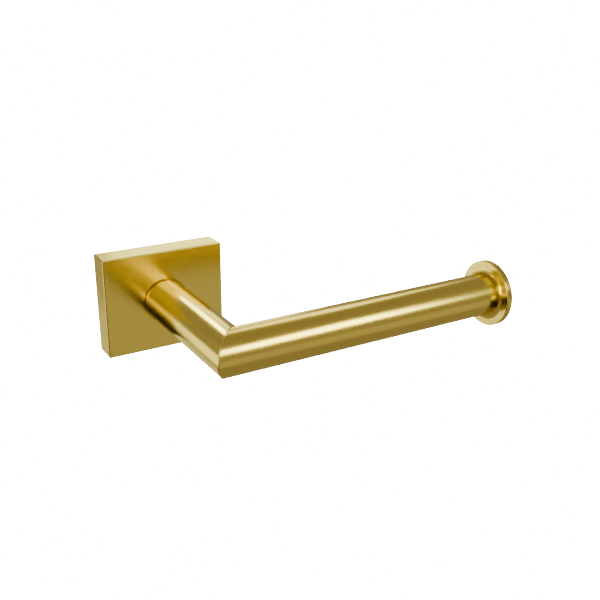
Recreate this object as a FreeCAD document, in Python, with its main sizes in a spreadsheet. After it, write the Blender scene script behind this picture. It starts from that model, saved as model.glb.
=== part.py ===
import FreeCAD, Part
import math
import os
import re

import Sketcher
from FreeCAD import Vector

# A wall-mounted toilet paper holder with one arm: a hollow rectangular cover over a bent sheet bracket, a round arm
# that stands out from the cover, a bar mitred to it at 90 degrees, and a round disc that closes the bar's free end.
#
# Frame, in millimetres: the wall is the plane Y = 0 and the room is on its -Y side. X runs along the bar, towards
# the disc. Z is up. The origin is on the arm's axis, at the centre of the cover's back.

doc = FreeCAD.newDocument("toilet_paper_holder")

# ---------------------------------------------------------------------------------------------- driving dimensions
DIMENSIONS = {
    # cover: a box that is open at the wall
    "cover_width": 55.0,
    "cover_height": 45.0,
    "cover_depth": 11.5,
    "cover_wall": 2.5,
    "cover_corner": 0.55,
    "cavity_corner": 2.0,
    "edge_round": 0.45,
    # arm and bar: one size of tube, mitred at the corner
    "tube_diameter": 19.0,
    "tube_wall": 1.5,
    "tube_break": 0.2,
    "arm_reach": 75.0,  # wall to the bar's axis
    "bar_reach": 129.5,  # arm's axis to the bar's free end
    "braze_gap": 0.25,  # filler between the two mitred ends
    # shallow seat for the arm in the cover's front face
    "seat_depth": 0.6,
    "seat_play": 0.3,
    "seat_break": 0.25,
    # disc that keeps the roll on the bar
    "disc_diameter": 30.0,
    "disc_thickness": 3.0,
    "disc_break": 0.3,
    "spigot_length": 4.0,
    # plugs brazed into the tubes
    "plug_play": 0.05,
    "plug_break": 0.5,
    "root_plug_length": 14.0,
    "end_plug_length": 12.0,
    "end_plug_setback": 0.5,  # from the disc's spigot
    # threads are plain cylinders, the female one wider than the male one by this much all round
    "thread_play": 0.03,
    # M6 button-head screw that holds the arm to the cover, with its washers
    "screw_diameter": 6.0,
    "screw_length": 16.0,
    "screw_head": 10.5,
    "screw_head_height": 3.3,
    "screw_head_top": 5.0,
    "screw_key": 4.0,
    "screw_key_depth": 2.1,
    "screw_hole": 6.5,
    "washer_outer": 12.0,
    "washer_inner": 6.4,
    "washer_thickness": 1.6,
    "spring_outer": 11.4,
    "spring_inner": 6.3,
    "spring_thickness": 1.5,
    "spring_slit": 0.8,
    # dowel that stops the arm turning in the cover
    "dowel_diameter": 2.5,
    "dowel_length": 5.5,
    "dowel_height": 5.6,  # above the arm's axis
    "dowel_setback": 0.2,  # from the washer
    "dowel_play": 0.03,
    # M6 stud between the end plug and the disc
    "stud_diameter": 6.0,
    "stud_length": 16.0,
    "stud_in_disc": 5.5,
    "stud_end_gap": 0.2,
    "stud_key": 3.0,
    "stud_key_depth": 3.5,
    # bent sheet bracket on the wall; its two flanges lean away from each other
    "bracket_width": 44.0,
    "bracket_foot": 31.0,
    "bracket_sheet": 2.0,
    "flange_length": 8.0,
    "flange_lean": 15.0,  # degrees
    "bend_radius": 1.0,
    "fixing_spacing": 28.0,
    "fixing_width": 4.6,
    "fixing_length": 8.0,
    # M5 grub screw under the cover, and the boss inside the cover for its thread
    "grub_diameter": 5.0,
    "grub_length": 5.0,
    "grub_point_break": 0.75,
    "grub_key": 2.5,
    "grub_key_depth": 2.4,
    "grub_from_wall": 5.0,
    "grub_gap": 0.05,  # point to flange
    "boss_width": 10.0,
    "boss_rise": 1.5,
    "boss_from_wall": 1.0,
    # rib inside the cover's top, which hooks behind the bracket's upper flange
    "rib_width": 24.0,
    "rib_thickness": 2.0,
    "rib_from_wall": 0.8,
    "rib_play": 0.1,
    "root_overlap": 0.5,  # how far ribs and bosses run into the wall they stand on
}

sizes = doc.addObject("Spreadsheet::Sheet", "Sizes")
for row, (alias, number) in enumerate(DIMENSIONS.items(), start=1):
    sizes.set(f"A{row}", alias.replace("_", " "))
    sizes.set(f"B{row}", str(number))
    sizes.setAlias(f"B{row}", alias)
doc.recompute()


def bind(thing, prop, formula):
    """Drives a property with a formula in the sheet's aliases, which are all words joined by underscores."""
    thing.setExpression(prop, re.sub(r"\b[a-z]+(?:_[a-z]+)+\b", r"Sizes.\g<0>", str(formula)))


# Distances that several sub-parts share, as formulas
SEAT_FLOOR = "(cover_depth - seat_depth)"
TUBE_RADIUS = "(tube_diameter / 2)"
BORE = "(tube_diameter - 2 * tube_wall)"
COVER_INSIDE = "(cover_depth - cover_wall)"  # wall to the inner side of the cover's front
FLANGE_SLOPE = "tan(flange_lean * 1 deg)"
SPIGOT_START = "(bar_reach - spigot_length)"


# ----------------------------------------------------------------------------------------------- modelling helpers
def new_body(label):
    body = doc.addObject("PartDesign::Body", label)
    body.Label = label
    return body


def sketch_on(body, name, plane, lift=0):
    """An empty sketch on one of the body's origin planes, moved along the plane's normal by lift.

    XZ_Plane has X across, Z up and its normal out into the room (-Y). XY_Plane has X across, Y up and its normal
    along +Z. YZ_Plane has Y across, Z up and its normal along the bar (+X).
    """
    sketch = body.newObject("Sketcher::SketchObject", f"{body.Label}_{name}")
    origin = next(f for f in body.Origin.OriginFeatures if f.Role == plane)
    sketch.AttachmentSupport = [(origin, "")]
    sketch.MapMode = "FlatFace"
    bind(sketch, "AttachmentOffset.Base.z", lift)
    return sketch


def pin_point(sketch, geometry, point, across, up):
    """Ties one point of the sketch's geometry to a formula for each coordinate."""
    for kind, formula in (("DistanceX", across), ("DistanceY", up)):
        index = sketch.addConstraint(Sketcher.Constraint(kind, -1, 1, geometry, point, 1.0))
        bind(sketch, f"Constraints[{index}]", formula)


def add_polygon(sketch, corners):
    """A closed outline whose corners are (across, up) formulas."""
    count = len(corners)
    first = sketch.GeometryCount
    turns = [2 * math.pi * i / count for i in range(count)]
    ring = [Vector(9 * math.cos(turn), 9 * math.sin(turn), 0) for turn in turns]
    for i in range(count):
        sketch.addGeometry(Part.LineSegment(ring[i], ring[(i + 1) % count]), False)
    for i in range(count):
        sketch.addConstraint(Sketcher.Constraint("Coincident", first + i, 2, first + (i + 1) % count, 1))
    for i, (across, up) in enumerate(corners):
        pin_point(sketch, first + i, 1, across, up)


def add_rectangle(sketch, left, right, low, high):
    add_polygon(sketch, [(left, low), (right, low), (right, high), (left, high)])


def add_circle(sketch, diameter, across=0, up=0):
    index = sketch.addGeometry(Part.Circle(Vector(0, 0, 0), Vector(0, 0, 1), 2), False)
    pin_point(sketch, index, 3, across, up)
    constraint = sketch.addConstraint(Sketcher.Constraint("Diameter", index, 4.0))
    bind(sketch, f"Constraints[{constraint}]", diameter)


def add_hexagon(sketch, key):
    """The outline of a hex key on the sketch's origin, key wide across its flats."""
    reach = f"({key}) / 2 / cos(30 deg)"
    turns = [f"({60 * i + 30} * 1 deg)" for i in range(6)]
    add_polygon(sketch, [(f"{reach} * cos({turn})", f"{reach} * sin({turn})") for turn in turns])


def pad(body, sketch, length, both_sides=False):
    """Material along the sketch's normal."""
    feature = body.newObject("PartDesign::Pad", f"{sketch.Name}_pad")
    feature.Profile = sketch
    bind(feature, "Length", length)
    feature.Midplane = both_sides
    doc.recompute()
    return feature


def cut(body, sketch, length, along_normal=False, both_sides=False):
    """A pocket, which runs against the sketch's normal unless told otherwise and has to remove something."""
    before = body.Shape.Volume
    feature = body.newObject("PartDesign::Pocket", f"{sketch.Name}_cut")
    feature.Profile = sketch
    bind(feature, "Length", length)
    feature.Reversed = along_normal
    feature.Midplane = both_sides
    doc.recompute()
    if body.Shape.Volume > before - 1e-3:
        raise RuntimeError(f"{feature.Name} removed nothing")
    return feature


def revolve(body, sketch, axis):
    """A full turn of the sketch about its H_Axis or V_Axis."""
    feature = body.newObject("PartDesign::Revolution", f"{sketch.Name}_turned")
    feature.Profile = sketch
    feature.ReferenceAxis = (sketch, [axis])
    feature.Angle = 360
    doc.recompute()
    return feature


def dress(body, kind, prop, formula, test):
    """A Fillet or Chamfer on those edges of the body whose points all pass the test."""
    base = body.Tip
    chosen = []
    for number, edge in enumerate(base.Shape.Edges, start=1):
        if all(test(point) for point in edge.discretize(5)):
            chosen.append(f"Edge{number}")
    if not chosen:
        raise RuntimeError(f"no edge of {body.Label} fits its {kind.lower()}")
    feature = body.newObject(f"PartDesign::{kind}", f"{body.Label}_{kind.lower()}")
    feature.Base = (base, chosen)
    bind(feature, prop, formula)
    doc.recompute()
    return feature


def fillet(body, formula, test):
    return dress(body, "Fillet", "Radius", formula, test)


def chamfer(body, formula, test):
    return dress(body, "Chamfer", "Size", formula, test)


def near(a, b):
    return abs(a - b) < 1e-4


def place(body, x=0, y=0, z=0):
    """Binds the body's position to formulas."""
    for axis, formula in (("x", x), ("y", y), ("z", z)):
        bind(body, f"Placement.Base.{axis}", formula)


D = DIMENSIONS


# ------------------------------------------------------------------------------------------------- wall and cover
def make_wall_bracket():
    """Bent sheet: a foot flat on the wall and two flanges that lean away from each other as they stand out."""
    body = new_body("wall_bracket")
    half = "bracket_foot / 2"
    lean = "(flange_lean * 1 deg)"
    inside = f"({half} + bracket_sheet * tan{lean} - bracket_sheet / cos{lean})"
    tip_out = f"flange_length * cos{lean}"
    tip_up = f"({half} + flange_length * sin{lean})"
    inner_tip_out = f"({tip_out} + bracket_sheet * sin{lean})"
    inner_tip_up = f"({tip_up} - bracket_sheet * cos{lean})"
    upper = [
        ("0", half),
        (f"-{tip_out}", tip_up),
        (f"-{inner_tip_out}", inner_tip_up),
        ("-bracket_sheet", inside),
    ]
    lower = [(across, f"-({up})") for across, up in reversed(upper)]
    section = sketch_on(body, "section", "YZ_Plane")
    add_polygon(section, upper + lower)
    pad(body, section, "bracket_width", both_sides=True)
    outer_bend = D["bracket_foot"] / 2
    fillet(body, "bend_radius + bracket_sheet", lambda p: near(p.y, 0) and near(abs(p.z), outer_bend))
    fillet(body, "bend_radius", lambda p: near(p.y, -D["bracket_sheet"]) and abs(p.z) > outer_bend / 2)

    slots = sketch_on(body, "slots", "XZ_Plane", "bracket_sheet")
    run = "(fixing_length - fixing_width) / 2"
    for side in ("-", ""):
        centre = f"({side}fixing_spacing / 2)"
        add_rectangle(slots, f"{centre} - {run}", f"{centre} + {run}", "-fixing_width / 2", "fixing_width / 2")
    cut(body, slots, "bracket_sheet")
    for name, sign in (("slot_ends_outer", "+"), ("slot_ends_inner", "-")):
        ends = sketch_on(body, name, "XZ_Plane", "bracket_sheet")
        for side in ("-", ""):
            add_circle(ends, "fixing_width", f"{side}fixing_spacing / 2 {sign} {run}")
        cut(body, ends, "bracket_sheet")
    return body


def make_cover_plate():
    """The hollow cover, with the arm's seat in front, a hook rib above and a tapped boss below."""
    body = new_body("cover_plate")
    outline = sketch_on(body, "outline", "XZ_Plane")
    add_rectangle(outline, "-cover_width / 2", "cover_width / 2", "-cover_height / 2", "cover_height / 2")
    pad(body, outline, "cover_depth")
    half_width, half_height, depth = D["cover_width"] / 2, D["cover_height"] / 2, D["cover_depth"]
    fillet(body, "cover_corner", lambda p: near(abs(p.x), half_width) and near(abs(p.z), half_height))

    cavity = sketch_on(body, "cavity", "XZ_Plane")
    wide, tall = "(cover_width / 2 - cover_wall)", "(cover_height / 2 - cover_wall)"
    add_rectangle(cavity, f"-{wide}", wide, f"-{tall}", tall)
    cut(body, cavity, COVER_INSIDE, along_normal=True)
    inner_x, inner_z = half_width - D["cover_wall"], half_height - D["cover_wall"]
    fillet(body, "cavity_corner", lambda p: near(abs(p.x), inner_x) and near(abs(p.z), inner_z))

    rib = sketch_on(body, "rib", "XZ_Plane", "rib_from_wall")
    rib_low = f"bracket_foot / 2 + (rib_from_wall + rib_thickness) * {FLANGE_SLOPE} + rib_play"
    add_rectangle(rib, "-rib_width / 2", "rib_width / 2", rib_low, f"{tall} + root_overlap")
    pad(body, rib, "rib_thickness")

    boss = sketch_on(body, "boss", "XZ_Plane", "boss_from_wall")
    add_rectangle(boss, "-boss_width / 2", "boss_width / 2", f"-{tall} - root_overlap", f"-{tall} + boss_rise")
    pad(body, boss, f"{COVER_INSIDE} - boss_from_wall + root_overlap")
    grub_hole = sketch_on(body, "grub_hole", "XY_Plane", "-cover_height / 2")
    add_circle(grub_hole, "grub_diameter + 2 * thread_play", 0, "-grub_from_wall")
    cut(body, grub_hole, "2 * (cover_wall + boss_rise)", along_normal=True)

    seat = sketch_on(body, "seat", "XZ_Plane", "cover_depth")
    add_circle(seat, "tube_diameter + 2 * seat_play")
    cut(body, seat, "seat_depth")
    screw_hole = sketch_on(body, "screw_hole", "XZ_Plane", "cover_depth")
    add_circle(screw_hole, "screw_hole")
    cut(body, screw_hole, "cover_depth")
    dowel_hole = sketch_on(body, "dowel_hole", "XZ_Plane", "cover_depth")
    add_circle(dowel_hole, "dowel_diameter + 2 * dowel_play", 0, "dowel_height")
    cut(body, dowel_hole, "cover_depth")

    mouth = D["tube_diameter"] / 2 + D["seat_play"]
    chamfer(body, "seat_break", lambda p: near(p.y, -depth) and near(math.hypot(p.x, p.z), mouth))
    fillet(body, "edge_round", lambda p: near(p.y, -depth) and max(abs(p.x), abs(p.z)) > half_height - 0.7)
    return body


# --------------------------------------------------------------------------------------------------- arm and bar
def trim_to_mitre(body, keep):
    """Cuts away everything beyond the body's own side of the mitre, half the filler's thickness back from it."""
    back = "braze_gap / 2 / cos(45 deg)"
    shift = f"({'' if keep == 'arm' else '-'}{back})"
    reach = "(2 * tube_diameter)"
    trim = sketch_on(body, "mitre", "XY_Plane")
    low = (f"-{reach}", f"-arm_reach - {reach} + {shift}")
    high = (reach, f"-arm_reach + {reach} + {shift}")
    far = (reach, low[1]) if keep == "arm" else (low[0], high[1])
    add_polygon(trim, [low, high, far])
    cut(body, trim, "3 * tube_diameter", both_sides=True)


def make_arm_tube():
    """Tube from the cover's seat to the mitre."""
    body = new_body("arm_tube")
    ring = sketch_on(body, "ring", "XZ_Plane", SEAT_FLOOR)
    add_circle(ring, "tube_diameter")
    add_circle(ring, BORE)
    pad(body, ring, f"arm_reach + tube_diameter - {SEAT_FLOOR}")
    trim_to_mitre(body, "arm")
    return body


def make_bar_tube():
    """Tube from the mitre to the disc, its outer edge broken at the disc's end."""
    body = new_body("bar_tube")
    ring = sketch_on(body, "ring", "YZ_Plane", "-tube_diameter")
    add_circle(ring, "tube_diameter", "-arm_reach")
    add_circle(ring, BORE, "-arm_reach")
    pad(body, ring, "bar_reach + tube_diameter")
    trim_to_mitre(body, "bar")
    radius = D["tube_diameter"] / 2
    chamfer(
        body,
        "tube_break",
        lambda p: near(p.x, D["bar_reach"]) and near(math.hypot(p.y + D["arm_reach"], p.z), radius),
    )
    return body


def add_mitre_ellipse(sketch, diameter):
    """The outline that a round tube leaves on a plane cut across it at 45 degrees."""
    index = sketch.addGeometry(Part.Ellipse(Vector(0, 0, 0), 4, 3), False)
    sketch.exposeInternalGeometry(index)
    major, minor = index + 1, index + 2
    sketch.addConstraint(Sketcher.Constraint("Coincident", index, 3, -1, 1))
    sketch.addConstraint(Sketcher.Constraint("Horizontal", major))
    for line, length in ((major, f"({diameter}) / cos(45 deg)"), (minor, diameter)):
        constraint = sketch.addConstraint(Sketcher.Constraint("Distance", line, 5.0))
        bind(sketch, f"Constraints[{constraint}]", length)


def make_mitre_braze():
    """The film of filler metal that joins the two tubes, cleaned up flush with their outsides."""
    body = new_body("mitre_braze")
    ring = sketch_on(body, "ring", "XZ_Plane")
    add_mitre_ellipse(ring, "tube_diameter")
    add_mitre_ellipse(ring, BORE)
    pad(body, ring, "braze_gap", both_sides=True)
    bind(body, "Placement.Rotation.Angle", "45 deg")
    place(body, y="-arm_reach")
    return body


def add_plug_profile(sketch, start, length, direction):
    """Half a plug's outline along one axis of the sketch, with broken edges, for turning about that axis."""
    radius = f"({BORE} / 2 - plug_play)"
    small = f"({radius} - plug_break)"
    run = [
        ("0", small),
        ("plug_break", radius),
        (f"{length} - plug_break", radius),
        (length, small),
        (length, "0"),
        ("0", "0"),
    ]
    corners = [(f"{direction}({start} + {along})", out) for along, out in run]
    add_polygon(sketch, corners)


def make_arm_root_plug():
    """Solid plug brazed into the arm's root, tapped for the screw and drilled for the dowel."""
    body = new_body("arm_root_plug")
    profile = sketch_on(body, "profile", "YZ_Plane")
    add_plug_profile(profile, SEAT_FLOOR, "root_plug_length", "-")
    revolve(body, profile, "H_Axis")
    thread = sketch_on(body, "thread", "XZ_Plane", SEAT_FLOOR)
    add_circle(thread, "screw_diameter + 2 * thread_play")
    cut(body, thread, "root_plug_length", along_normal=True)
    dowel = sketch_on(body, "dowel", "XZ_Plane", SEAT_FLOOR)
    add_circle(dowel, "dowel_diameter + 2 * dowel_play", 0, "dowel_height")
    depth = "dowel_length - cover_wall + seat_depth + 2 * dowel_setback"
    cut(body, dowel, depth, along_normal=True)
    return body


def make_arm_screw():
    """M6 button-head screw from inside the cover into the root plug."""
    body = new_body("arm_screw")
    under = f"({COVER_INSIDE} - washer_thickness - spring_thickness)"
    profile = sketch_on(body, "profile", "YZ_Plane")
    top = f"-({under} - screw_head_height)"
    end = f"-({under} + screw_length)"
    corners = [
        (top, "0"),
        (top, "screw_head_top / 2"),
        (f"-({under} - screw_head_height / 2)", "(screw_head + screw_head_top) / 4 + screw_head_height / 4"),
        (f"-({under} - screw_head_height / 8)", "screw_head / 2"),
        (f"-{under}", "screw_head / 2"),
        (f"-{under}", "screw_diameter / 2"),
        (f"{end} + plug_break", "screw_diameter / 2"),
        (end, "screw_diameter / 2 - plug_break"),
        (end, "0"),
    ]
    add_polygon(profile, corners)
    revolve(body, profile, "H_Axis")
    socket = sketch_on(body, "socket", "XZ_Plane", f"{under} - screw_head_height")
    add_hexagon(socket, "screw_key")
    cut(body, socket, "screw_key_depth", along_normal=True)
    return body


def make_ring(label, outer, inner, thickness, start):
    """A flat ring round the arm's axis; start is its distance from the wall."""
    body = new_body(label)
    ring = sketch_on(body, "ring", "XZ_Plane", start)
    add_circle(ring, outer)
    add_circle(ring, inner)
    pad(body, ring, thickness)
    return body


def make_arm_washer():
    start = f"{COVER_INSIDE} - washer_thickness"
    return make_ring("arm_washer", "washer_outer", "washer_inner", "washer_thickness", start)


def make_arm_spring_washer():
    """Split spring washer, drawn flat as it is under the tightened screw."""
    start = f"({COVER_INSIDE} - washer_thickness - spring_thickness)"
    body = make_ring("arm_spring_washer", "spring_outer", "spring_inner", "spring_thickness", start)
    slit = sketch_on(body, "slit", "XZ_Plane", start)
    add_rectangle(slit, "0", "spring_outer", "-spring_slit / 2", "spring_slit / 2")
    cut(body, slit, "spring_thickness", along_normal=True)
    return body


def make_arm_dowel():
    """Dowel that stops the arm turning on its screw."""
    body = new_body("arm_dowel")
    round_end = sketch_on(body, "round", "XZ_Plane", f"{COVER_INSIDE} + dowel_setback")
    add_circle(round_end, "dowel_diameter", 0, "dowel_height")
    pad(body, round_end, "dowel_length")
    return body


# ------------------------------------------------------------------------------------------------- disc and its stud
def make_bar_end_plug():
    """Solid plug brazed inside the bar's free end, tapped for the stud."""
    body = new_body("bar_end_plug")
    profile = sketch_on(body, "profile", "XZ_Plane")
    start = f"({SPIGOT_START} - end_plug_setback - end_plug_length)"
    add_plug_profile(profile, start, "end_plug_length", "")
    revolve(body, profile, "H_Axis")
    thread = sketch_on(body, "thread", "YZ_Plane", start)
    add_circle(thread, "stud_diameter + 2 * thread_play")
    cut(body, thread, "end_plug_length", along_normal=True)
    place(body, y="-arm_reach")
    return body


def make_end_disc():
    """Disc with a spigot that centres it in the bar and is tapped blind for the stud."""
    body = new_body("end_disc")
    profile = sketch_on(body, "profile", "XZ_Plane")
    rim, face = "disc_diameter / 2", "(bar_reach + disc_thickness)"
    spigot = f"({BORE} / 2 - plug_play)"
    corners = [
        (SPIGOT_START, "0"),
        (SPIGOT_START, f"{spigot} - plug_break"),
        (f"{SPIGOT_START} + plug_break", spigot),
        ("bar_reach", spigot),
        ("bar_reach", f"{rim} - disc_break"),
        ("bar_reach + disc_break", rim),
        (f"{face} - disc_break", rim),
        (face, f"{rim} - disc_break"),
        (face, "0"),
    ]
    add_polygon(profile, corners)
    revolve(body, profile, "H_Axis")
    thread = sketch_on(body, "thread", "YZ_Plane", SPIGOT_START)
    add_circle(thread, "stud_diameter + 2 * thread_play")
    cut(body, thread, "stud_in_disc + stud_end_gap", along_normal=True)
    place(body, y="-arm_reach")
    return body


def make_disc_stud():
    """M6 threaded stud, half in the end plug and half in the disc."""
    body = new_body("disc_stud")
    profile = sketch_on(body, "profile", "XZ_Plane")
    end = f"({SPIGOT_START} + stud_in_disc)"
    start = f"({end} - stud_length)"
    radius, small = "stud_diameter / 2", "stud_diameter / 2 - plug_break"
    corners = [
        (start, "0"),
        (start, small),
        (f"{start} + plug_break", radius),
        (f"{end} - plug_break", radius),
        (end, small),
        (end, "0"),
    ]
    add_polygon(profile, corners)
    revolve(body, profile, "H_Axis")
    socket = sketch_on(body, "socket", "YZ_Plane", start)
    add_hexagon(socket, "stud_key")
    cut(body, socket, "stud_key_depth", along_normal=True)
    place(body, y="-arm_reach")
    return body


# ------------------------------------------------------------------------------------------------------ grub screw
def make_grub_screw():
    """M5 grub screw, drawn from its socket end at the body's origin up to its flat point, then moved into place."""
    body = new_body("grub_screw")
    profile = sketch_on(body, "profile", "XZ_Plane")
    radius = "grub_diameter / 2"
    corners = [
        ("0", "0"),
        (f"{radius} - grub_gap", "0"),
        (radius, "grub_gap"),
        (radius, "grub_length - grub_point_break"),
        (f"{radius} - grub_point_break", "grub_length"),
        ("0", "grub_length"),
    ]
    add_polygon(profile, corners)
    revolve(body, profile, "V_Axis")
    socket = sketch_on(body, "socket", "XY_Plane")
    add_hexagon(socket, "grub_key")
    cut(body, socket, "grub_key_depth", along_normal=True)
    furthest = f"(grub_from_wall + {radius} - grub_point_break)"
    flange_low = f"-(bracket_foot / 2 + {furthest} * {FLANGE_SLOPE})"
    place(body, y="-grub_from_wall", z=f"{flange_low} - grub_gap - grub_length")
    return body


SUB_PARTS = [
    make_wall_bracket,
    make_cover_plate,
    make_arm_tube,
    make_bar_tube,
    make_mitre_braze,
    make_arm_root_plug,
    make_arm_screw,
    make_arm_washer,
    make_arm_spring_washer,
    make_arm_dowel,
    make_bar_end_plug,
    make_end_disc,
    make_disc_stud,
    make_grub_screw,
]

bodies = [make() for make in SUB_PARTS]
doc.recompute()

for thing in doc.Objects:
    if "Invalid" in thing.State or "Error" in thing.State:
        raise RuntimeError(f"{thing.Label} did not compute: {thing.State}")

os.makedirs("parts", exist_ok=True)
for body in bodies:
    if body.Shape.isNull() or not body.Shape.isValid() or len(body.Shape.Solids) != 1:
        raise RuntimeError(f"{body.Label} is not one sound solid")
    body.Shape.exportStep(f"parts/{body.Label}.step")
    box = body.Shape.BoundBox
    print(
        f"{body.Label}: x {box.XMin:.2f}..{box.XMax:.2f}  y {box.YMin:.2f}..{box.YMax:.2f}"
        f"  z {box.ZMin:.2f}..{box.ZMax:.2f}  volume {body.Shape.Volume:.1f}"
    )
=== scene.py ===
# %% [markdown]
# # A wall-mounted toilet paper holder in brushed gold
#
# The real object shows four pieces of brass and a hairline of braze: a shallow rectangular cover on the
# wall, a round arm that comes out of it, a bar that is mitred to the arm at a right angle with the braze
# in the mitre, and a thin disc on the bar's free end. The cover and the tubes are dressed with an
# abrasive belt, the disc is turned on a lathe, and all are then coated with a thin gold film. This lesson
# loads the measured frame, makes the round pieces again as smooth surfaces worked out with numpy, gives
# every piece its metal, and sets up a small pale studio.

# %% Load the frame
import math

import bmesh
import bpy
import numpy as np
from mathutils import Matrix, Vector


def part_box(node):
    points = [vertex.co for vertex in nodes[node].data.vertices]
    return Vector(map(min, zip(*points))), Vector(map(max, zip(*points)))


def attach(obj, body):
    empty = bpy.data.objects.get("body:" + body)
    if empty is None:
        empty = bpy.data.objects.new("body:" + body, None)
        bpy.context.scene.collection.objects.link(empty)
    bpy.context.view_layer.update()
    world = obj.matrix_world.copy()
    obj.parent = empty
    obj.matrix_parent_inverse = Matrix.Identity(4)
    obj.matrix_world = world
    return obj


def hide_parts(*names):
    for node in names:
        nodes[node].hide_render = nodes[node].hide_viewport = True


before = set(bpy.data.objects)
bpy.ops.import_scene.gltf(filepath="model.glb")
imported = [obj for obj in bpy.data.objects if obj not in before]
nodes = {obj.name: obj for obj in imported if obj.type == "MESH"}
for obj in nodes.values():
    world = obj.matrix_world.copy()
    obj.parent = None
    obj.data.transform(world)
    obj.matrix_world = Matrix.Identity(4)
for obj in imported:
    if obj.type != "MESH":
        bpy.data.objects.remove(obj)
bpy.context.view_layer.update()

# %% [markdown]
# Sizes come from the frame itself, so a new surface always lies where the old solid lay. The two corners
# of a box are enough to give a tube's radius, the bar's axis and the disc's thickness. They could be
# typed in again from the drawing, but then the two would part company the first time that somebody
# changed one of them.

# %% Measure the frame
MM = 0.001
TUBE_WALL = 1.5 * MM
_, arm_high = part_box("arm_tube")
bar_low, bar_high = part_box("bar_tube")
disc_low, disc_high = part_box("end_disc")
tube_radius = round((bar_high[2] - bar_low[2]) / 2, 4)
tube_bore = tube_radius - TUBE_WALL
arm_root = arm_high[1]
bar_axis = (bar_high[1] + bar_low[1]) / 2
bar_end = bar_high[0]
disc_radius = round((disc_high[2] - disc_low[2]) / 2, 4)
print(f"tube radius {tube_radius / MM:.2f} mm")
print(f"bar axis at y = {bar_axis / MM:.2f} mm, bar end at x = {bar_end / MM:.2f} mm")

# %% [markdown]
# ## A surface from a grid of points
#
# Every round piece here is a closed skin: rings of points, one ring after another, with the same number
# of points in each. It could be modelled by hand from a cylinder, but a grid keeps the faces even, and
# its two directions are exactly what a brushed finish needs: one across the scratches and one along them.


# %% Turn a grid into a mesh
SAME_POINT = 0.0001 * MM  # points nearer than this are one


def skin(name, rings, uv, last_to_first=True):
    """Joins each point of rings[row, column] to its neighbours with four-sided faces.

    Columns always close round the ring; rows close from the last ring to the first when last_to_first is
    set. The UV map, kept in millimetres, has one more row and column than the points, so it doesn't fold
    back at the seams. A ring of zero size is merged into a single point, a pole. The enclosed volume is a
    sixth of the sum of triple products over the faces; where it comes out negative the faces point inwards,
    and their order is turned.
    """
    rows, columns = rings.shape[:2]
    joined = rows if last_to_first else rows - 1
    row, column = np.meshgrid(np.arange(joined), np.arange(columns), indexing="ij")
    corners = [(row, column), (row + 1, column), (row + 1, column + 1), (row, column + 1)]
    faces = np.stack([(r % rows) * columns + c % columns for r, c in corners], axis=-1).reshape(-1, 4)
    face_uv = np.stack([uv[r, c] for r, c in corners], axis=-2).reshape(-1, 4, 2)
    points = rings.reshape(-1, 3)
    first, second, third, fourth = (points[faces[:, corner]] for corner in range(4))
    volume = (np.cross(first, second) * third + np.cross(first, third) * fourth).sum() / 6
    if volume < 0:
        faces, face_uv = faces[:, ::-1], face_uv[:, ::-1]
    mesh = bpy.data.meshes.new(name)
    mesh.from_pydata(points.tolist(), [], faces.tolist())
    brush_map = mesh.uv_layers.new(name="brush")
    brush_map.data.foreach_set("uv", np.ascontiguousarray(face_uv / MM, dtype=np.float32).ravel())
    merged = bmesh.new()
    merged.from_mesh(mesh)
    bmesh.ops.remove_doubles(merged, verts=merged.verts, dist=SAME_POINT)
    open_edges = sum(not edge.is_manifold for edge in merged.edges)
    merged.to_mesh(mesh)
    merged.free()
    mesh.shade_smooth()
    piece = bpy.data.objects.new(name, mesh)
    bpy.context.scene.collection.objects.link(piece)
    size = f"{abs(volume) / MM**3:.0f} cubic mm"
    print(f"{name}: {len(mesh.polygons)} faces, {open_edges} open edges, {size}")
    return piece


def stand_for(piece, node):
    """Lets the piece take the place of one solid of the frame, with that solid's body."""
    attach(piece, "holder")
    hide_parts(node)
    flats = piece.modifiers.new("large faces keep their shading", "WEIGHTED_NORMAL")
    flats.keep_sharp = True


def edge_round(size, steps):
    """A quarter circle over an edge: the inset grows as 1 - cos, the way back along the side as 1 - sin."""
    turn = np.linspace(0, math.pi / 2, steps)
    return size * (1 - np.cos(turn)), size * (1 - np.sin(turn))


# %% [markdown]
# ## The mitred tubes
#
# On the real object two straight lengths of tube are sawn at 45 degrees, brazed together, and dressed
# with a belt that takes the sharp corner off each sawn edge. A cylinder cut by a plane would do, but its
# cut edge can't easily be rounded. Written as a function it is simpler: the ring's far end doesn't stop
# at one distance but at a distance that depends on the angle, because a plane at 45 degrees is as far
# away as the point is to one side.

# %% Make the two mitred tubes
AROUND = 160
SAWN_STEPS, SQUARE_STEPS = 6, 4
SAWN_EDGE = 0.4 * MM
SQUARE_EDGE = 0.2 * MM
BRAZE_GAP = 0.25 * MM
angle = np.linspace(0, 2 * math.pi, AROUND + 1)
filler = BRAZE_GAP / 2 * math.sqrt(2)  # half the gap, measured along either tube


def mitred_tube(start):
    """A hollow tube along s, from a square end at s = start to a 45 degree end at s = -side.

    A point at angle t and radius r lies at side = r cos t and up = r sin t. Near each end the radius
    shrinks along a quarter circle; then the rings turn inwards to the bore and go back to the start.
    """
    sawn_inset, sawn_back = edge_round(SAWN_EDGE, SAWN_STEPS)
    square_inset, square_back = edge_round(SQUARE_EDGE, SQUARE_STEPS)
    outside = [tube_radius - square_inset[::-1], tube_radius - sawn_inset]
    radius = np.concatenate([*outside, [tube_bore, tube_bore]])
    at_mitre = np.repeat([False, True, False], [len(square_inset), len(sawn_inset) + 1, 1])
    offset = np.concatenate([square_back[::-1], -sawn_back, [0.0, 0.0]])
    side = radius[:, None] * np.cos(angle)
    up = radius[:, None] * np.sin(angle)
    along = np.where(at_mitre[:, None], -side, start) + offset[:, None]
    round_it = np.broadcast_to(angle * tube_radius, along.shape)
    uv = np.stack([round_it, along], axis=-1)
    return side, along, up, np.concatenate([uv, uv[:1]])


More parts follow.
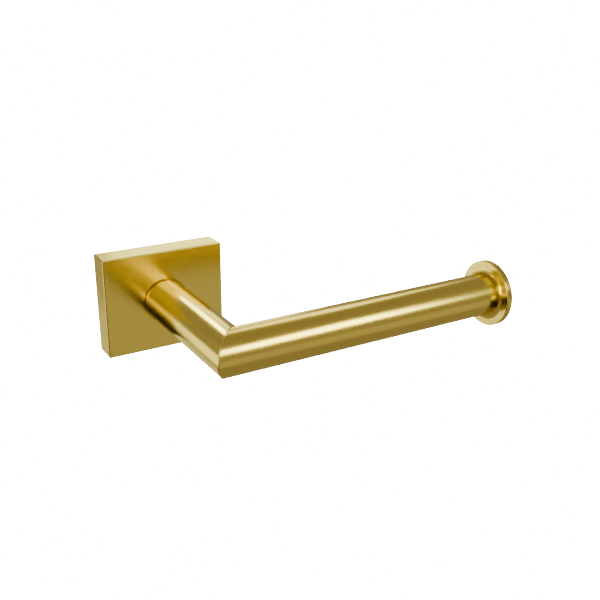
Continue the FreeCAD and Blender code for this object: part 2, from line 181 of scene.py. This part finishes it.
# The arm's s runs along -Y, from the cover to the mitre, and its side is +X.
side, along, up, uv = mitred_tube(bar_axis + filler - arm_root)
rings = np.stack([side, bar_axis - along + filler, up], axis=-1)
arm = skin("arm_tube_brushed", rings[:, :-1], uv)
stand_for(arm, "arm_tube")

# The bar's s runs along -X, from the disc's end to the mitre, and its side is +Y.
side, along, up, uv = mitred_tube(filler - bar_end)
rings = np.stack([filler - along, bar_axis + side, up], axis=-1)
bar = skin("bar_tube_brushed", rings[:, :-1], uv)
stand_for(bar, "bar_tube")

# %% [markdown]
# ## The line of braze
#
# Silver braze fills the gap between the two sawn ends, and the gold film covers it too. What shows is a
# bright hairline round the corner. A plane at 45 degrees cuts a round tube in an ellipse, so a small oval
# section carried along that ellipse gives the line. Its crest stands a hair proud of the tubes, between
# their rounded edges, so that it catches the light all round.

# %% Make the line of braze
BRAZE_DEPTH = 0.3 * MM
CREST_PROUD = 0.08 * MM
BRAZE_SPREAD = SAWN_EDGE / 3  # how far it runs on to the rounded edge of either tube
ROUND_SECTION = 15
section = np.linspace(0, 2 * math.pi, ROUND_SECTION)[:, None]
radius = tube_radius + CREST_PROUD - BRAZE_DEPTH * (1 - np.sin(section))
slant = (BRAZE_GAP / 2 + BRAZE_SPREAD) / math.sqrt(2) * np.cos(section)
side, up = radius * np.cos(angle), radius * np.sin(angle)
rings = np.stack([side + slant, bar_axis + side - slant, up], axis=-1)
uv = np.stack(np.broadcast_arrays(section * BRAZE_DEPTH, angle * tube_radius), axis=-1)
braze = skin("mitre_braze_line", rings[:-1, :-1], uv)
stand_for(braze, "mitre_braze")

# %% [markdown]
# ## The disc
#
# The disc is turned on a lathe from brass bar: a thin round flange that keeps the roll on, and behind it
# a short spigot that centres it in the tube. A lathe piece is a profile, a list of distances and radii,
# carried round its axis. The profile starts and ends on the axis, where each ring shrinks to a pole.
# Turning leaves its scratches round the axis, so the map's second direction runs round it too.

# %% Turn the disc
RIM_EDGE = 0.35 * MM
SPIGOT_PLAY = 0.05 * MM
SPIGOT_EDGE = 0.5 * MM
RIM_STEPS = 7
spigot = tube_bore - SPIGOT_PLAY
inset, back = edge_round(RIM_EDGE, RIM_STEPS)
profile = np.array(
    [
        (disc_low[0], 0.0),
        (disc_low[0], spigot - SPIGOT_EDGE),
        (disc_low[0] + SPIGOT_EDGE, spigot),
        (bar_end, spigot),
        (bar_end, (tube_radius + disc_radius) / 2),
        *zip(bar_end + back[::-1], disc_radius - inset[::-1]),
        *zip(disc_high[0] - back, disc_radius - inset),
        (disc_high[0], disc_radius / 2),
        (disc_high[0], 0.0),
    ]
)
distance, radius = profile[:, :1], profile[:, 1:]
side, up = radius * np.cos(angle), radius * np.sin(angle)
rings = np.stack(np.broadcast_arrays(distance, bar_axis + side, up), axis=-1)
walked = np.concatenate([[0], np.cumsum(np.hypot(*np.diff(profile, axis=0).T))])[:, None]
uv = np.stack(np.broadcast_arrays(walked, angle * disc_radius), axis=-1)
disc = skin("end_disc_turned", rings[:, :-1], uv, last_to_first=False)
stand_for(disc, "end_disc")

# %% [markdown]
# ## Metals
#
# A metal shows almost nothing of its own: it is a tint laid over whatever it reflects, blurred by the way
# its surface was finished. So each material below is a tint, a roughness and, for the brushed ones, a
# direction. Small functions do the wiring, so that each finish reads as a short recipe.


# %% Helpers for materials
NOISE_LOW, NOISE_HIGH = 0.3, 0.7  # noise seldom goes beyond these


def linear(hex_colour):
    """An sRGB hex colour as the linear red, green, blue and alpha that the shaders work in."""
    srgb = np.array([int(hex_colour[k : k + 2], 16) for k in (1, 3, 5)]) / 255
    rgb = np.where(srgb <= 0.04045, srgb / 12.92, ((srgb + 0.055) / 1.055) ** 2.4)
    return (*rgb.tolist(), 1.0)


def add(tree, kind, settings, sockets, result=0):
    """Adds a node, gives each listed socket a constant or a link, and hands back one of its outputs."""
    made = tree.nodes.new(kind)
    for name, value in settings.items():
        setattr(made, name, value)
    for name, value in sockets.items():
        if isinstance(value, bpy.types.NodeSocket):
            tree.links.new(value, made.inputs[name])
        else:
            made.inputs[name].default_value = value
    return made.outputs[result]


def metal(name, colour, roughness, anisotropy=0.0):
    """A new all-metal material, with its node tree and its shader."""
    made = bpy.data.materials.new(name)
    made.use_nodes = True
    shader = made.node_tree.nodes["Principled BSDF"]
    shader.inputs["Base Color"].default_value = linear(colour)
    shader.inputs["Metallic"].default_value = 1.0
    shader.inputs["Roughness"].default_value = roughness
    shader.inputs["Anisotropic"].default_value = anisotropy
    return made, made.node_tree, shader


def mottle(tree, shader, pattern, colours, roughness):
    """Lets a pattern from 0 to 1 move the tint between two colours and the roughness between two values."""
    dark, light = (linear(colour) for colour in colours)
    tint = add(tree, "ShaderNodeMix", {"data_type": "RGBA"}, {0: pattern, 6: dark, 7: light}, result=2)
    tree.links.new(tint, shader.inputs["Base Color"])
    taken = {"From Min": NOISE_LOW, "From Max": NOISE_HIGH}
    given = {"To Min": roughness[0], "To Max": roughness[1]}
    blur = add(tree, "ShaderNodeMapRange", {}, {"Value": pattern, **taken, **given})
    tree.links.new(blur, shader.inputs["Roughness"])


def use(material, *pieces):
    """Gives every listed piece this one material."""
    for piece in pieces:
        piece.data.materials.clear()
        piece.data.materials.append(material)
    print(material.name, "->", ", ".join(piece.name for piece in pieces))


# %% [markdown]
# ## Brushed gold on the round pieces
#
# The coating is a gold-coloured nitride film about a micrometre thick, laid in vacuum over brushed brass.
# It keeps every scratch of the brass and changes only the tint. Scratches that run one way spread a
# reflection across them and hardly along them, which the shader calls anisotropy, with a tangent that
# says which way is across. Real belt scratches are a few hundredths of a millimetre apart, too fine to
# show one by one, so the hairlines are drawn a few tenths apart and kept faint.

# %% Brushed PVD gold, with scratches along the UV map
GOLD = "#F0DDA9"
GOLD_DEEP = "#E8D29A"
HAIR_WIDTH, HAIR_LENGTH = 0.3, 14.0  # mm
HAIR_RELIEF = 0.004 * MM
HAIR_STRENGTH = 0.35
GOLD_ROUGHNESS = 0.22
GOLD_ANISOTROPY = 0.25
BRUSHED = (GOLD_ROUGHNESS - 0.03, GOLD_ROUGHNESS + 0.04)


def brush(tree, shader, vector, across):
    """Long thin noise as scratches: they shade the tint, vary the roughness and lift the surface."""
    look = {"Scale": 1.0, "Detail": 3.0, "Roughness": 0.6}
    hair = add(tree, "ShaderNodeTexNoise", {}, {"Vector": vector, **look})
    mottle(tree, shader, hair, (GOLD_DEEP, GOLD), BRUSHED)
    height = {"Height": hair, "Strength": HAIR_STRENGTH, "Distance": HAIR_RELIEF}
    relief = add(tree, "ShaderNodeBump", {}, height)
    tree.links.new(relief, shader.inputs["Normal"])
    tree.links.new(across, shader.inputs["Tangent"])


round_gold, tree, shader = metal("brushed PVD-gold brass, round", GOLD, GOLD_ROUGHNESS, GOLD_ANISOTROPY)
place = add(tree, "ShaderNodeUVMap", {"uv_map": "brush"}, {})
hair_scale = (1 / HAIR_WIDTH, 1 / HAIR_LENGTH, 1.0)
scratches = add(tree, "ShaderNodeMapping", {}, {"Vector": place, "Scale": hair_scale})
across = add(tree, "ShaderNodeTangent", {"direction_type": "UV_MAP", "uv_map": "brush"}, {})
brush(tree, shader, scratches, across)
use(round_gold, arm, bar, disc)

# %% [markdown]
# ## The same film over braze, paled as a painted highlight
#
# Silver braze is softer than brass. The belt smears it instead of scratching it, so under the same film
# it stays smoother, with a slight ripple. Its tints are paler than the tubes' gold as a painted highlight,
# so that the hairline reads bright. It could share the tubes' metal, but then the line would sink into
# them.

# %% Smooth PVD gold on the braze, paled as a painted highlight
# The tints below are paler than GOLD: a painted highlight on the braze line. The ripple between them is
# random tone.
BRAZE_GOLD_PAINTED_HIGHLIGHT = "#F8EABC"
BRAZE_RIPPLE_AND_PAINTED_HIGHLIGHT = ("#F2E2AE", "#FBF0C8")
RIPPLE_SIZE = 1.5 * MM
SMEARED = (GOLD_ROUGHNESS - 0.06, GOLD_ROUGHNESS + 0.04)
braze_gold_painted_highlight, tree, shader = metal("PVD-gold film over silver braze, paled as painted highlight", BRAZE_GOLD_PAINTED_HIGHLIGHT, GOLD_ROUGHNESS)
place = add(tree, "ShaderNodeTexCoord", {}, {}, result="Object")
wave = {"Vector": place, "Scale": 1 / RIPPLE_SIZE, "Detail": 2.0}
ripple = add(tree, "ShaderNodeTexNoise", {}, wave)
mottle(tree, shader, ripple, BRAZE_RIPPLE_AND_PAINTED_HIGHLIGHT, SMEARED)
use(braze_gold_painted_highlight, braze)

# %% [markdown]
# ## Brushed gold on the cover
#
# The cover is a shallow box, and the belt passes along each of its faces: sideways on the front, top and
# bottom, and up and down on the two ends. The cover is the frame's own solid, and its material asks for no
# UV map. It could be unwrapped, but flat faces don't need it: the material reads which way the surface
# faces, and where it faces sideways it uses a pattern that is turned upright.

# %% Brushed PVD gold on flat faces
flat_gold, tree, shader = metal("brushed PVD-gold brass, cover", GOLD, GOLD_ROUGHNESS, GOLD_ANISOTROPY)
place = add(tree, "ShaderNodeTexCoord", {}, {}, result="Object")
normal = add(tree, "ShaderNodeNewGeometry", {}, {}, result="True Normal")


def faces_along(axis):
    """1 where the surface faces within 45 degrees of this axis, either way, and 0 elsewhere."""
    part = add(tree, "ShaderNodeSeparateXYZ", {}, {0: normal}, result=axis)
    size = add(tree, "ShaderNodeMath", {"operation": "ABSOLUTE"}, {0: part})
    return add(tree, "ShaderNodeMath", {"operation": "GREATER_THAN"}, {0: size, 1: math.sqrt(0.5)})


def choose(flag, otherwise, when_set):
    """One of two vectors, as the flag says."""
    vectors = {0: flag, 4: otherwise, 5: when_set}
    return add(tree, "ShaderNodeMix", {"data_type": "VECTOR"}, vectors, result=1)


fine, long = 1 / (HAIR_WIDTH * MM), 1 / (HAIR_LENGTH * MM)
sideways = add(tree, "ShaderNodeMapping", {}, {"Vector": place, "Scale": (long, fine, fine)})
upright = add(tree, "ShaderNodeMapping", {}, {"Vector": place, "Scale": (fine, fine, long)})
scratches = choose(faces_along("X"), sideways, upright)
across = choose(faces_along("Y"), (0, 1, 0), (0, 0, 1))
brush(tree, shader, scratches, across)
use(flat_gold, nodes["cover_plate"])

# %% [markdown]
# ## Plain metals inside
#
# The bracket is zinc-plated sheet steel, whose crystals give a cloudy grey bloom. The screws are
# stainless steel, cold-headed and bright. The plugs inside the tubes are bare turned brass, with no film
# on them. They all show only from behind and below, or when the holder is taken apart, so one kind of
# noise at three sizes is enough.


# %% Zinc plate, stainless steel and bare brass
def plain_metal(name, colours, roughness, grain, *piece_names):
    """A metal with a soft irregular pattern of the given grain size, put on the frame's own solids."""
    made, tree, shader = metal(name, colours[0], roughness[0])
    place = add(tree, "ShaderNodeTexCoord", {}, {}, result="Object")
    cloud = add(tree, "ShaderNodeTexNoise", {}, {"Vector": place, "Scale": 1 / grain, "Detail": 3.0})
    mottle(tree, shader, cloud, colours, roughness)
    use(made, *(nodes[name] for name in piece_names))


zinc, zinc_pieces = ("#A9AFB6", "#C9CCCF"), ("wall_bracket", "arm_washer")
plain_metal("zinc-plated steel sheet", zinc, (0.28, 0.46), 6 * MM, *zinc_pieces)
steel = ("#A8A6A2", "#BDBBB7")
steel_pieces = ("arm_screw", "arm_spring_washer", "arm_dowel", "disc_stud", "grub_screw")
plain_metal("stainless steel, cold-headed", steel, (0.2, 0.34), 1.2 * MM, *steel_pieces)
brass, brass_pieces = ("#CDAE68", "#E2C886"), ("arm_root_plug", "bar_end_plug")
plain_metal("bare turned brass", brass, (0.24, 0.34), 0.5 * MM, *brass_pieces)

# %% [markdown]
# ## Camera
#
# The camera stands to the left of the holder and above it and looks along the arm towards the wall, near
# enough for clear perspective. It could be aimed by a constraint, but a matrix built from its own three
# axes is exact: the way back from the picture, the picture's right, and its up, with the last two turned
# a little for the roll.


# %% Place the camera
def toward(azimuth, elevation):
    """A unit vector from two angles in degrees: azimuth 0 is the room side, -Y, and 90 is +X."""
    turned, raised = math.radians(azimuth), math.radians(elevation)
    level = math.cos(raised)
    return Vector((math.sin(turned) * level, -math.cos(turned) * level, math.sin(raised)))


AZIMUTH, ELEVATION, ROLL = -30.88, 21.35, 0.52
DISTANCE = 394.4 * MM
roll = math.radians(ROLL)
aim = Vector((58.375, -29.81, -5.025)) * MM
back = toward(AZIMUTH, ELEVATION)
level_right = toward(AZIMUTH + 90, 0)
level_up = back.cross(level_right)
picture_right = level_right * math.cos(roll) + level_up * math.sin(roll)
picture_up = level_up * math.cos(roll) - level_right * math.sin(roll)
lens = bpy.data.cameras.new("camera")
lens.lens, lens.sensor_width = 51.26, 36.0
lens.clip_start, lens.clip_end = 0.01, 50.0
camera = bpy.data.objects.new("camera", lens)
turn = Matrix((picture_right, picture_up, back)).transposed().to_4x4()
camera.matrix_world = Matrix.Translation(aim + back * DISTANCE) @ turn
bpy.context.scene.collection.objects.link(camera)
bpy.context.scene.camera = camera
print("camera at", [round(c / MM) for c in camera.matrix_world.translation], "mm")

# %% [markdown]
# ## Floor
#
# The holder hangs in front of plain white. A wide white sheet well below it fills the background. A lit
# sheet would never print quite white without burning out the metal, so it glows instead, and it is kept
# out of the reflections, where it would wash out the shape of the tubes. From below it is clear, so that
# it doesn't hide the underside.


# %% Lay the floor
def sheet_of(name, width, height, matrix, material):
    """A flat sheet of the studio, not of the holder: it faces +Z and is then moved by the matrix."""
    right, top = width / 2, height / 2
    corners = [(-right, -top, 0), (right, -top, 0), (right, top, 0), (-right, top, 0)]
    mesh = bpy.data.meshes.new(name)
    mesh.from_pydata(corners, [], [(0, 1, 2, 3)])
    mesh.materials.append(material)
    made = bpy.data.objects.new(name, mesh)
    made.matrix_world = matrix
    bpy.context.scene.collection.objects.link(made)
    return made


FLOOR_LEVEL, FLOOR_WIDTH = -0.3, 24.0
FLOOR_GLOW = 8.0
floor_white = bpy.data.materials.new("white studio floor")
floor_white.use_nodes = True
tree = floor_white.node_tree
tree.nodes.clear()
glow = add(tree, "ShaderNodeEmission", {}, {"Color": linear("#FFFFFF"), "Strength": FLOOR_GLOW})
clear = add(tree, "ShaderNodeBsdfTransparent", {}, {})
from_below = add(tree, "ShaderNodeNewGeometry", {}, {}, result="Backfacing")
sheet = add(tree, "ShaderNodeMixShader", {}, {0: from_below, 1: glow, 2: clear})
tree.links.new(sheet, tree.nodes.new("ShaderNodeOutputMaterial").inputs["Surface"])
below = Matrix.Translation((0, 0, FLOOR_LEVEL))
floor = sheet_of("floor", FLOOR_WIDTH, FLOOR_WIDTH, below, floor_white)
floor.visible_glossy = False
floor.visible_diffuse = False
print("floor at", FLOOR_LEVEL / MM, "mm")

# %% [markdown]
# ## Soft lights
#
# Polished and brushed metal is lit by what it sees. A band of softboxes in front, above eye level, draws
# the white line along the bar, and the dark between two boxes draws the dark lines beside it. The boxes
# behind the wall line light the arm, which looks past the cover on both sides. The one beside the camera
# lights only the braze in the mitre and the cover's upright edge. The one under it shines on the cover,
# and the cover passes the light on to the arm's root, which can't see past it. All stand on one sphere
# round the holder and face its middle, and strength here means how bright the box itself looks, so a
# larger box doesn't look brighter.


# %% Place the soft lights
LIGHT_DISTANCE = 1.2
BOX_TINT = "#FAFFC8"
middle = Vector((0.04, -0.05, 0.0))


def on_sphere(azimuth, elevation):
    """A place on the sphere of lights, turned so that its +Z points away from the holder's middle."""
    way = toward(azimuth, elevation)
    turn = way.to_track_quat("Z", "Y").to_matrix().to_4x4()
    return Matrix.Translation(middle + way * LIGHT_DISTANCE) @ turn


softboxes = {
    # name: azimuth and elevation in degrees, width and height in metres, strength
    "front band, right": (32, 27, 0.40, 0.42, 3.0),
    "front band, middle": (6, 31, 0.50, 0.42, 1.1),
    "front band, left": (-28, 25, 0.60, 0.50, 0.3),
    "front, low": (31, -22, 0.90, 0.60, 0.12),
    "beside the camera": (-62, 12, 0.40, 0.70, 3.5),
    "under the camera": (-37, -5, 0.26, 0.20, 2.0),
    "left, high": (-88, 44, 0.90, 0.60, 0.5),
    "left, along the wall": (-114, -12, 0.40, 0.40, 2.0),
    "behind, left": (-141, -13, 0.40, 0.55, 0.8),
    "behind, left, high": (-132, 25, 0.40, 0.40, 0.4),
    "behind, top": (171, 38, 0.24, 0.42, 3.2),
    "behind, right": (158, 16, 0.32, 0.42, 1.0),
    "behind, right, high": (138, 43, 0.42, 0.42, 1.0),
    "behind, low": (-172, -30, 0.50, 0.40, 0.3),
}
for name, (azimuth, elevation, width, height, strength) in softboxes.items():
    lamp = bpy.data.lights.new(name, "AREA")
    lamp.shape, lamp.size, lamp.size_y = "RECTANGLE", width, height
    # A box of area A that looks 1 bright gives pi A watts.
    lamp.energy = strength * width * height * math.pi
    lamp.color = linear(BOX_TINT)[:3]
    box = bpy.data.objects.new(name, lamp)
    box.matrix_world = on_sphere(azimuth, elevation)
    bpy.context.scene.collection.objects.link(box)
print(len(softboxes), "softboxes")

# %% [markdown]
# ## A black card and the air
#
# The far end of the bar sees the disc, and the disc sees the studio below the camera. There the studio
# has a black card, so that the tube stays dark just before the disc and the two pieces part. The rest of
# the studio, its walls and ceiling, is an even dim warmth from all sides. It could be left black, but
# then every reflection that misses a softbox would be a hole in the metal.

# %% Hang the card and fill the air
CARD_WIDTH, CARD_HEIGHT = 1.0, 0.8
AIR_TINT, AIR_STRENGTH = "#FFF8CC", 0.28
black_felt = bpy.data.materials.new("black felt")
black_felt.use_nodes = True
felt = black_felt.node_tree.nodes["Principled BSDF"]
felt.inputs["Base Color"].default_value = linear("#101010")
felt.inputs["Roughness"].default_value = 1.0
card = sheet_of("black card", CARD_WIDTH, CARD_HEIGHT, on_sphere(-31, -38), black_felt)
card.visible_camera = False
world = bpy.data.worlds.new("studio air")
world.use_nodes = True
air = world.node_tree.nodes["Background"]
air.inputs["Color"].default_value = linear(AIR_TINT)
air.inputs["Strength"].default_value = AIR_STRENGTH
bpy.context.scene.world = world
print("a card and", world.name)

# %% [markdown]
# ## How the picture is developed
#
# A camera's film compresses strong light gently instead of cutting it off, and a product print adds
# contrast again. The AgX view with its strongest look does both: the white band on the bar keeps its
# yellow, and the dark lines beside it stay dark.

# %% Develop the picture
development = bpy.context.scene.view_settings
development.view_transform = "AgX"
development.look = "AgX - Very High Contrast"
print("view:", development.view_transform, development.look)
